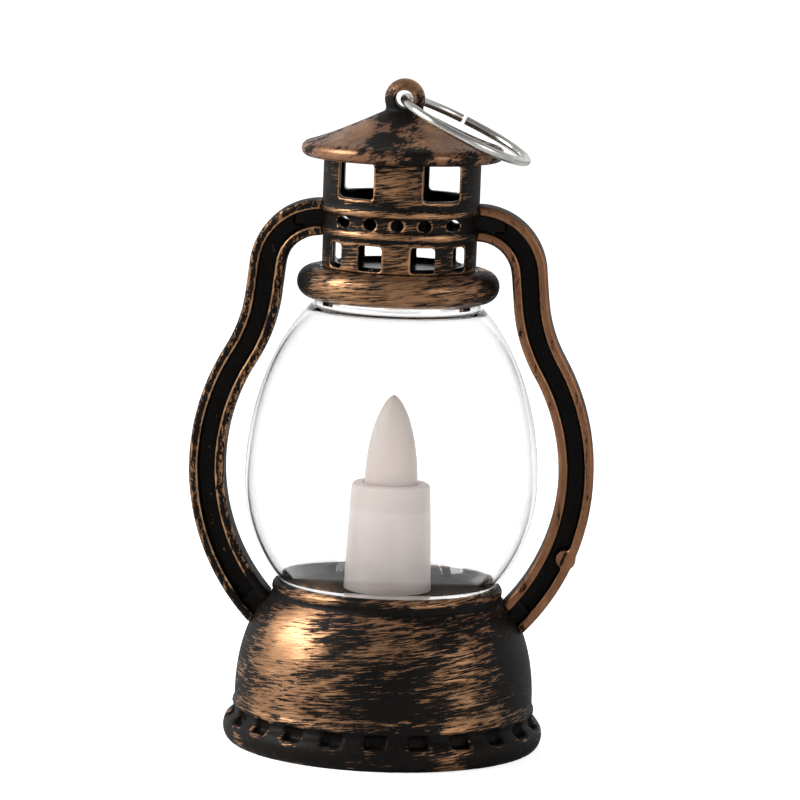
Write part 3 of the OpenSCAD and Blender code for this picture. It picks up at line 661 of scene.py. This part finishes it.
@dataclass
class Bronze:
    """The bronze mouldings: base, cap, chimney, roof and arms, each with its own brush marks."""

    base: DryBrushedBronze = DryBrushedBronze(
        "abs_dry_brushed_base",
        cover=-0.2,
        edge=0.56,
        edges_from=(0.1, 0.42),
        grit=1.2,
        bore=19.5,
        deck=28.6,
        bands=(Band(-1.0, 7.3, -0.58), Band(7.6, 8.9, 0.3), Band(27.2, 31.0, -0.36)),
        patches=(
            Patch((-18.0, -18.0, 23.0), 12.0, 0.66),
            Patch((-22.0, -18.0, 7.0), 6.5, 0.3),
            Patch((-17.0, -22.0, 13.0), 15.0, 0.2),
            Patch((15.0, -22.0, 14.0), 11.0, 0.26),
            Patch((3.0, -24.0, 24.0), 9.0, 0.16),
            Patch((4.0, -27.0, 11.5), 11.0, -0.36),
            Patch((28.0, -8.0, 18.0), 16.0, -0.6),
            Patch((-28.0, -2.0, 22.0), 12.0, -0.5),
            Patch((14.0, -26.5, 1.5), 7.5, 0.62),
            Patch((-26.0, -13.5, 1.5), 4.0, 0.6),
            Patch((-20.0, -4.0, 30.0), 9.0, -0.4),
        ),
    )
    cap: DryBrushedBronze = DryBrushedBronze(
        "abs_dry_brushed_cap",
        cover=0.0,
        edge=0.1,
        grit=1.35,
        bore=14.4,
        patches=(
            Patch((-17.5, -5.0, 87.0), 8.0, -0.5),
            Patch((17.5, -5.0, 86.0), 8.0, -0.4),
            Patch((4.0, -17.0, 83.0), 13.0, 0.3),
            Patch((-9.0, -16.0, 85.0), 8.0, 0.2),
        ),
    )
    chimney: DryBrushedBronze = DryBrushedBronze(
        "abs_dry_brushed_chimney",
        cover=-0.22,
        edge=0.56,
        grit=1.25,
        bore=13.3,
        patches=(
            Patch((0.0, -14.0, 104.5), 6.5, 0.3),
            Patch((0.0, -14.0, 90.5), 6.0, 0.24),
            Patch((-15.0, 0.0, 98.0), 14.0, -0.7),
            Patch((15.0, 0.0, 98.0), 14.0, -0.7),
        ),
    )
    roof: DryBrushedBronze = DryBrushedBronze(
        "abs_dry_brushed_roof",
        cover=-0.06,
        edge=0.2,
        grit=0.8,
        strokes=Strokes.ACROSS_ROOF,
        patches=(
            Patch((-8.5, -6.5, 113.6), 8.5, 0.5),
            Patch((7.5, -10.5, 112.4), 9.5, 0.5),
            Patch((5.0, -3.0, 115.0), 5.5, 0.36),
            Patch((-1.5, -4.5, 116.0), 5.0, -0.5),
            Patch((-3.5, -13.5, 111.4), 5.5, -0.34),
            Patch((3.0, -18.2, 109.3), 5.0, -0.42),
            Patch((11.0, -14.5, 109.3), 5.0, -0.42),
            Patch((-11.0, -15.0, 109.4), 10.0, 0.4),
            Patch((0.5, 0.0, 121.0), 4.4, 0.75),
            Patch((-2.9, -2.6, 117.2), 2.6, -1.1),
            Patch((0.0, 0.0, 105.0), 14.0, -1.6),
        ),
        copper="#7F5B46",
        bright="#BE8F68",
    )
    left_arm: DryBrushedBronze = DryBrushedBronze(
        "abs_dry_brushed_left_arm",
        cover=-0.74,
        edge=0.86,
        edges_from=(0.25, 0.9),
        grit=1.2,
        rim=0.42,
        strokes=Strokes.ALONG_ARM,
        patches=(
            Patch((-23.0, 0.0, 22.0), 7.0, -0.5),
            Patch((-25.4, -1.5, 27.5), 5.2, -1.6),
            Patch((-18.8, -0.5, 95.9), 3.2, -1.8),
            Patch((-33.0, -2.0, 50.0), 10.0, 0.1),
        ),
    )
    right_arm: DryBrushedBronze = DryBrushedBronze(
        "abs_dry_brushed_right_arm",
        cover=-0.74,
        edge=0.3,
        edges_from=(0.4, 1.0),
        grit=0.32,
        rim=0.96,
        strokes=Strokes.ALONG_ARM,
        patches=(Patch((23.5, 0.0, 22.0), 6.0, -0.6), Patch((33.2, -1.6, 35.7), 2.4, 1.2)),
        # These copper colours are darker than the left arm's: painted shade, for the arm on the side away from the key
        # lamp.
        copper="#855C43",
        bright="#AE7F5B",
    )

    def mouldings(self) -> list[Moulding]:
        """Lists the mouldings."""
        return [
            Moulding("base_housing", "base_moulding", Slot.BRONZE, self.base, 0.44, 2),
            Moulding("globe_cap", "cap_moulding", Slot.COPPER, self.cap, 0.3),
            Moulding("chimney", "chimney_moulding", Slot.COPPER, self.chimney),
            Moulding("roof", "roof_moulding", Slot.COPPER, self.roof, 0.28),
            Moulding("left_arm", "left_arm_moulding", Slot.BRONZE, self.left_arm, 0.26, 2, 0),
            Moulding("right_arm", "right_arm_moulding", Slot.BRONZE, self.right_arm, 0.26, 2, 0),
        ]

    def build(self) -> None:
        """Builds every moulding."""
        for moulding in self.mouldings():
            moulding.build()


def ellipse(centre: Point, half: Point, start: float, end: float, count: int) -> list[Point]:
    """Gives points along an ellipse's arc.

    Args:
        centre: Its centre.
        half: Half its width and half its height.
        start: First angle, in degrees.
        end: Last angle, in degrees.
        count: Number of stretches.

    Returns:
        The points, in millimetres.
    """
    turns = [math.radians(start + (end - start) * i / count) for i in range(count + 1)]
    return [(centre[0] + half[0] * math.cos(t), centre[1] + half[1] * math.sin(t)) for t in turns]


@dataclass
class Globe:
    """Clear globe between two necks, with its widest line below the middle and a bead inside its upper neck.

    Attributes:
        middle: Height of the widest line.
        foot: Radius and height where the bulb meets the lower neck.
        head: Radius and height where the bulb meets the upper neck.
        wall: Thickness.
        tuck: How far the bulb stands out past the lower neck.
        inset: How far the upper neck stands in.
        bead: How far the bead stands inwards.
        bead_h: Half the bead's height.
        finish: Its finish.
    """

    middle: float = 49.0
    foot: Point = (20.15, 30.3)
    head: Point = (15.5, 81.2)
    wall: float = 0.6
    tuck: float = 0.6
    inset: float = 0.5
    bead: float = 0.9
    bead_h: float = 1.3
    finish: ClearStyrene = ClearStyrene()

    def bulb(self, widest: float, shrink: float, count: int = 40) -> list[Point]:
        """Gives the bulb's curve from the foot to the head.

        Args:
            widest: Its largest radius, outside.
            shrink: How far it is drawn in.
            count: Number of stretches below and above the widest line.

        Returns:
            The points, in millimetres.
        """
        back = 0.3 if shrink else 0.0
        low = (self.middle - self.foot[1]) / math.sqrt(1 - (self.foot[0] / widest) ** 2) - shrink
        high = (self.head[1] - self.middle) / math.sqrt(1 - (self.head[0] / widest) ** 2) - shrink
        start = -math.degrees(math.asin((self.middle - self.foot[1] - back) / low))
        end = math.degrees(math.asin((self.head[1] - back - self.middle) / high))
        centre = (0.0, self.middle)
        lower = ellipse(centre, (widest - shrink, low), start, 0, count)
        return lower + ellipse(centre, (widest - shrink, high), 0, end, count)[1:]

    def beaded(self, points: list[Point]) -> list[Point]:
        """Draws the inner wall inwards where the bead is."""
        drawn = []
        for r, z in points:
            off = min(abs(z - self.head[1]) / self.bead_h, 1.0)
            drawn.append((r - self.bead * (1 + math.cos(math.pi * off)) / 2, z))
        return drawn

    def build(self) -> None:
        """Turns the globe and dresses it."""
        low, high = span("globe")
        neck = self.foot[0] - self.tuck
        head = self.head[0] - self.inset
        outline = [(neck - self.wall, low.z), (neck, low.z), (neck, self.foot[1] - 0.4)]
        outline += self.bulb(high.x, 0.0)
        outline += [(head + 0.12, self.head[1] + 0.12), (head, self.head[1] + 0.5), (head, high.z)]
        inner = self.bulb(high.x, self.wall)
        inner += [(head - self.wall, self.head[1] + self.bead_h * i / 6) for i in range(1, 7)]
        outline += reversed(self.beaded(inner) + [(head - self.wall, high.z)])
        settle(lathe("clear_globe", outline, 160), Slot.GLOBE, self.finish, BODY, "globe")


@dataclass
class Candle:
    """Short plastic candle: its sleeve with a rounded top edge, and the pointed flame.

    Attributes:
        deck: Height that the sleeve stands on.
        top_r: Radius at the top.
        foot_r: Radius at the foot.
        edge: Rounding of the top edge.
        bore: Radius inside.
        spigot_r: Radius of the spigot through the deck.
        lip: Height of the narrow mouth.
        neck: Radius of the mouth.
        band: Radius and height of the band round the foot.
        flame_r: Radius of the flame where it leaves the mouth.
        flame_wall: Its thickness.
        flange_t: Thickness of the flame's hidden flange.
        sleeve_finish: Finish of the sleeve.
        flame_finish: Finish of the flame.
    """

    deck: float = 28.6
    top_r: float = 7.3
    foot_r: float = 7.95
    edge: float = 0.8
    bore: float = 6.45
    spigot_r: float = 7.4
    lip: float = 3.8
    neck: float = 5.05
    band: Point = (8.07, 1.6)
    flame_r: float = 4.9
    flame_wall: float = 1.1
    flange_t: float = 1.2
    # Above 43.6 mm the sleeve's colour is drawn towards its darker colour: painted shade on the lip that nothing backs.
    sleeve_finish: CandlePlastic = CandlePlastic("polypropylene_candle", "#E3D7D1", "#CCBEB7", painted_shade_from=43.6)
    flame_finish: CandlePlastic = CandlePlastic("polypropylene_flame", "#DACDC6", "#CBBDB6", 1.6, 0.4)

    def sleeve(self, low: float, top: float) -> list[Point]:
        """Gives the sleeve's outline.

        Args:
            low: Height of the spigot's end.
            top: Height of the top.

        Returns:
            The outline.
        """
        start = self.deck + self.band[1]
        rise = top - self.edge - start
        side = [(self.foot_r - 0.28 * t - 0.37 * t * t, start + rise * t) for t in (i / 10 for i in range(10))]
        return [
            (self.bore, low), (self.spigot_r, low), (self.spigot_r, self.deck), (self.band[0], self.deck),
            (self.band[0] - 0.05, start - 0.15), *side,
            *ellipse((self.top_r - self.edge, top - self.edge), (self.edge, self.edge), 0, 90, 8),
            (self.neck + 0.25, top), (self.neck, top - 0.25), (self.neck, top - self.lip), (self.bore, top - self.lip),
        ]

    def curve(self, radius: float, start: float, height: float, count: int) -> list[Point]:
        """Gives the flame's curve, from its widest radius to its point.

        Args:
            radius: Radius at the start.
            start: Height of the start.
            height: From the start to the point.
            count: Number of stretches.

        Returns:
            The points, in millimetres.
        """
        turns = [math.sin(math.pi / 2 * i / count) for i in range(count)]
        return [*((radius * (1 - t**1.9) ** 0.62, start + height * t) for t in turns), (0.0, start + height)]

    def flame(self, low: float, top: float, mouth: float, flange_r: float) -> list[Point]:
        """Gives the hollow flame's outline.

        Args:
            low: Height of its flange's underside.
            top: Height of its point.
            mouth: Height of the sleeve's top.
            flange_r: Radius of its flange.

        Returns:
            The outline.
        """
        inner = self.flame_r - self.flame_wall
        return [
            (inner, low), (flange_r, low), (flange_r, low + self.flange_t), (self.flame_r, low + self.flange_t),
            *self.curve(self.flame_r, mouth, top - mouth, 40),
            *reversed(self.curve(inner, mouth, top - mouth - 3, 24)),
        ]

    def build(self) -> None:
        """Turns the sleeve and the flame and dresses them."""
        low, high = span("candle_sleeve")
        sleeve = lathe("candle_sleeve_turned", self.sleeve(low.z, high.z), 96)
        settle(sleeve, Slot.CANDLE, self.sleeve_finish, BODY, "candle_sleeve")
        under, point = span("flame_tip")
        flame = lathe("flame_turned", self.flame(under.z, point.z, high.z, point.x), 96)
        settle(flame, Slot.FLAME, self.flame_finish, BODY, "flame_tip")


@dataclass
class HangingRing:
    """Open wire ring through the knob; its cut ends face each other across a thin gap.

    Attributes:
        ring: Radius to the middle of the wire.
        wire: Radius of the wire.
        tilt: How far it slopes down towards +X, in degrees.
        lean: How far its rear side is raised, in degrees.
        gap_at: Where the gap is, in degrees round from the knob.
        gap: Width of the gap, in degrees.
        burr: Rounding of the cut ends.
        finish: Its finish.
    """

    ring: float = 12.4
    wire: float = 0.8
    tilt: float = 25.0
    lean: float = 2.5
    gap_at: float = 88.0
    gap: float = 3.0
    burr: float = 0.12
    finish: PlatedMetal = PlatedMetal("zinc_plated_wire", "#E2E1DD", "#C6C5C0", 0.2, 0.25)

    def build(self) -> None:
        """Spins the wire's circle round the ring, rounds its ends and lays it on the roof."""
        deselect_all()
        middle = self.ring * MM
        bpy.ops.mesh.primitive_circle_add(
            vertices=28, radius=self.wire * MM, fill_type="NGON", location=(middle, 0, 0), rotation=(math.pi / 2, 0, 0)
        )
        piece = bpy.context.object
        piece.name = "wire_ring"
        bpy.ops.object.mode_set(mode="EDIT")
        bpy.ops.mesh.select_all(action="SELECT")
        turn = math.radians(360 - self.gap)
        bpy.ops.mesh.spin(steps=180, angle=turn, center=(0, 0, 0), axis=(0, 0, 1))
        bpy.ops.mesh.select_all(action="SELECT")
        bpy.ops.mesh.normals_make_consistent(inside=False)
        bpy.ops.object.mode_set(mode="OBJECT")
        bpy.ops.object.transform_apply(location=True, rotation=True, scale=True)
        sharp = math.radians(50)
        apply_modifier(piece, "BEVEL", width=self.burr * MM, segments=2, limit_method="ANGLE", angle_limit=sharp)
        bpy.ops.object.shade_smooth_by_angle(angle=math.radians(40))
        eye = next(joint for joint in frame["joints"] if joint["name"] == "ring_swing")["pos_m"]
        start = Matrix.Rotation(math.radians(180 - self.gap_at + self.gap / 2), 4, "Z")
        lean = Matrix.Rotation(math.radians(self.lean), 4, "X")
        tilt = Matrix.Rotation(math.radians(self.tilt), 4, "Y")
        piece.matrix_world = Matrix.Translation(eye) @ tilt @ lean @ Matrix.Translation((middle, 0, 0)) @ start
        settle(piece, Slot.ZINC, self.finish, "ring", "hanging_ring")


@dataclass
class CarriedOver:
    """CAD nodes whose shape is right as it is, with their finishes."""

    finishes: dict[str, Finish] = field(default_factory=lambda: {
        "bottom_cover": MouldedPlastic("abs_cover", "#191715", "#24211E", 0.5),
        "battery_door": MouldedPlastic("abs_battery_door", "#1B1917", "#282420", 0.5),
        "switch_knob": MouldedPlastic("acetal_switch_knob", "#101010", "#1C1C1C", 0.4),
        "switch_body": PlatedMetal("tinned_switch_case", "#C2C0BA", "#97948D", 0.35),
        "control_chip": MouldedPlastic("epoxy_chip", "#18181A", "#232326", 0.4),
        "resistor": MouldedPlastic("lacquered_resistor", "#C3A77C", "#A98B60", 0.4),
        "circuit_board": MouldedPlastic("solder_mask_board", "#1D6636", "#2C7A47", 0.35),
        "red_lead": MouldedPlastic("pvc_red_wire", "#A3201A", "#8A1A15", 0.35),
        "black_lead": MouldedPlastic("pvc_black_wire", "#161616", "#222222", 0.35),
        "led_wires": MouldedPlastic("pvc_white_wire", "#D9D5CA", "#C6C1B4", 0.35),
        "led_leads": PlatedMetal("tinned_led_leads", "#C9C7C1", "#A19E97", 0.3),
        "led_lens": CandlePlastic("epoxy_led_lens", "#F0E9D6", "#E6DCC4", 1.5, 0.6),
        "led_holder": CandlePlastic("polypropylene_holder", "#E8E1DA", "#DAD0C8", 2.0, 0.3),
        "retaining_ring": PlatedMetal("zinc_plated_washer", "#AFAEAA", "#85847F", 0.35),
        "cover_screws": PlatedMetal("zinc_plated_cover_screws", "#B4B3AE", "#8B8A85", 0.3),
        "door_screws": PlatedMetal("zinc_plated_door_screws", "#B4B3AE", "#8B8A85", 0.3),
        "button_cells": PlatedMetal("nickel_plated_cells", "#C8C6C0", "#A6A39C", 0.22),
        "contact_spring": PlatedMetal("nickel_plated_spring", "#C2BFB7", "#99968E", 0.3),
        "contact_plate": PlatedMetal("nickel_plated_contact", "#C2BFB7", "#99968E", 0.3),
    })

    def build(self) -> None:
        """Gives each node its finish."""
        for node, finish in self.finishes.items():
            materials = frame["nodes"][node].data.materials
            materials.clear()
            materials.append(finished(finish.name, finish.inputs))
            LOG.info("%s: %s", node, finish.name)


@dataclass(frozen=True)
class Lamp:
    """A soft square lamp.

    Attributes:
        name: Its name.
        place: Where it stands, in metres.
        size: Its side, in metres.
        watts: Its power.
    """

    name: str
    place: Place
    size: float
    watts: float


@dataclass
class Studio:
    """Pale floor, white surroundings, soft lamps and the photograph's camera.

    Attributes:
        distance: From the camera to the point that it looks at, in millimetres.
        lens: Focal length on a 36 mm sensor.
        elevation: Above the horizon, in degrees.
        azimuth: Round to the right, in degrees.
        roll: How far the object's top leans to the right in the picture, in degrees.
        aim: Height of the point that it looks at, in millimetres.
        centre: Pixel where that point lands, in a picture of 800 by 800.
        picture: Side of that picture, in pixels.
        front_light: Level of the surroundings in front of the lantern.
        rear_light: Level of the white backdrop behind it.
        front_gloss: Level of the front that metal and paint mirror.
        front_clear: Level of the front that clear pieces show.
        overhead: Share of those levels that is left high up.
        floor_glow: Level that brings the floor up to white where nothing shades it.
        lamps: The lamps.
    """

    distance: float = 850.0
    lens: float = 208.5
    elevation: float = 8.0
    azimuth: float = 2.5
    roll: float = 2.1
    aim: float = 60.0
    centre: Point = (393.3, 419.3)
    picture: float = 800.0
    front_light: float = 0.24
    rear_light: float = 0.85
    front_gloss: float = 0.4
    front_clear: float = 0.8
    overhead: float = 0.5
    floor_glow: float = 0.78
    lamps: tuple[Lamp, ...] = (
        Lamp("key_lamp", (-0.93, -0.18, 0.66), 0.6, 12.2),
        Lamp("fill_lamp", (0.8, -0.6, 0.35), 0.5, 2.0),
    )

    def camera(self) -> None:
        """Places the camera, with a small shift for the framing."""
        data = bpy.data.cameras.new("camera")
        data.lens = self.lens
        data.sensor_width = 36.0
        data.clip_start = 0.05
        data.clip_end = 20.0
        data.shift_x = (self.picture / 2 - self.centre[0]) / self.picture
        data.shift_y = (self.centre[1] - self.picture / 2) / self.picture
        camera = bpy.data.objects.new("camera", data)
        bpy.context.scene.collection.objects.link(camera)
        a, e = math.radians(self.azimuth), math.radians(self.elevation)
        back = Vector((math.sin(a) * math.cos(e), -math.cos(a) * math.cos(e), math.sin(e)))
        look = (-back).to_track_quat("-Z", "Y").to_matrix().to_4x4()
        roll = Matrix.Rotation(math.radians(self.roll), 4, "Z")
        place = Vector((0, 0, self.aim * MM)) + back * self.distance * MM
        camera.matrix_world = Matrix.Translation(place) @ look @ roll
        bpy.context.scene.camera = camera

    def hang(self, lamp: Lamp) -> None:
        """Hangs a lamp and points it at the lantern."""
        data = bpy.data.lights.new(lamp.name, "AREA")
        data.shape = "SQUARE"
        data.size = lamp.size
        data.energy = lamp.watts
        light = bpy.data.objects.new(lamp.name, data)
        light.location = lamp.place
        towards = Vector((0, 0, self.aim * MM)) - Vector(lamp.place)
        light.rotation_euler = towards.to_track_quat("-Z", "Y").to_euler()
        bpy.context.scene.collection.objects.link(light)

    def surroundings(self) -> None:
        """Makes the surroundings: a white backdrop, dimmer in front, and plain white to the camera."""
        world = bpy.data.worlds.new("studio")
        bpy.context.scene.world = world
        world.use_nodes = True
        tree = world.node_tree
        tree.nodes.clear()
        way = add_node(tree, "SeparateXYZ", {0: add_node(tree, "TexCoord").outputs["Generated"]})
        rear = way.outputs["Y"]
        path = add_node(tree, "LightPath")
        clear = add_node(
            tree, "MapRange", {0: rear, 1: -0.35, 2: 0.35, 3: self.front_clear, 4: 1.0}, interpolation_type="SMOOTHSTEP"
        )
        front = add_node(
            tree, "Mix", {0: path.outputs["Is Glossy Ray"], 2: self.front_light, 3: self.front_gloss}, data_type="FLOAT"
        )
        plain = add_node(
            tree, "MapRange", {0: rear, 1: -0.5, 2: 0.75, 3: front, 4: self.rear_light},
            interpolation_type="SMOOTHSTEP",
        )
        high = add_node(
            tree, "MapRange", {0: way.outputs["Z"], 1: 0.2, 2: 0.75, 3: 1.0, 4: self.overhead},
            interpolation_type="SMOOTHSTEP",
        )
        plain = add_node(tree, "Math", {0: plain, 1: high}, operation="MULTIPLY")
        lit = add_node(tree, "Mix", {0: path.outputs["Is Transmission Ray"], 2: plain, 3: clear}, data_type="FLOAT")
        level = add_node(tree, "Mix", {0: path.outputs["Is Camera Ray"], 2: lit, 3: 1.0}, data_type="FLOAT")
        backdrop = add_node(tree, "Background", {"Color": (1, 1, 1, 1), "Strength": level})
        add_node(tree, "OutputWorld", {"Surface": backdrop})

    def floor(self) -> None:
        """Lays a floor of white card that keeps the lantern's soft shadow."""
        deselect_all()
        bpy.ops.mesh.primitive_plane_add(size=6.0, location=(0, 0, 0))
        floor = bpy.context.object
        floor.name = "studio_floor"
        material = bpy.data.materials.new("white_card_floor")
        material.use_nodes = True
        tree = material.node_tree
        tree.nodes.clear()
        path = add_node(tree, "LightPath")
        seen = add_node(
            tree, "Math", {0: path.outputs["Is Camera Ray"], 1: path.outputs["Is Transmission Ray"]}, operation="MAXIMUM"
        )
        card = add_node(tree, "BsdfDiffuse", {"Color": linear("#F2F2F2")})
        glow = add_node(tree, "Emission", {"Color": (1, 1, 1, 1), "Strength": self.floor_glow})
        lit = add_node(tree, "AddShader", {0: card, 1: glow})
        add_node(tree, "OutputMaterial", {"Surface": add_node(tree, "MixShader", {0: seen, 1: card, 2: lit})})
        floor.data.materials.append(material)

    def build(self) -> None:
        """Sets up the whole studio."""
        self.surroundings()
        self.floor()
        for lamp in self.lamps:
            self.hang(lamp)
        self.camera()
        bpy.context.scene.view_settings.view_transform = "Standard"


def main() -> None:
    """Builds the lantern's looks piece by piece."""
    logging.basicConfig(level=logging.INFO, format="%(name)s %(message)s")
    for part in (Bronze(), Globe(), Candle(), HangingRing(), CarriedOver(), Studio()):
        part.build()
    deselect_all()


if __name__ == "__main__":
    main()
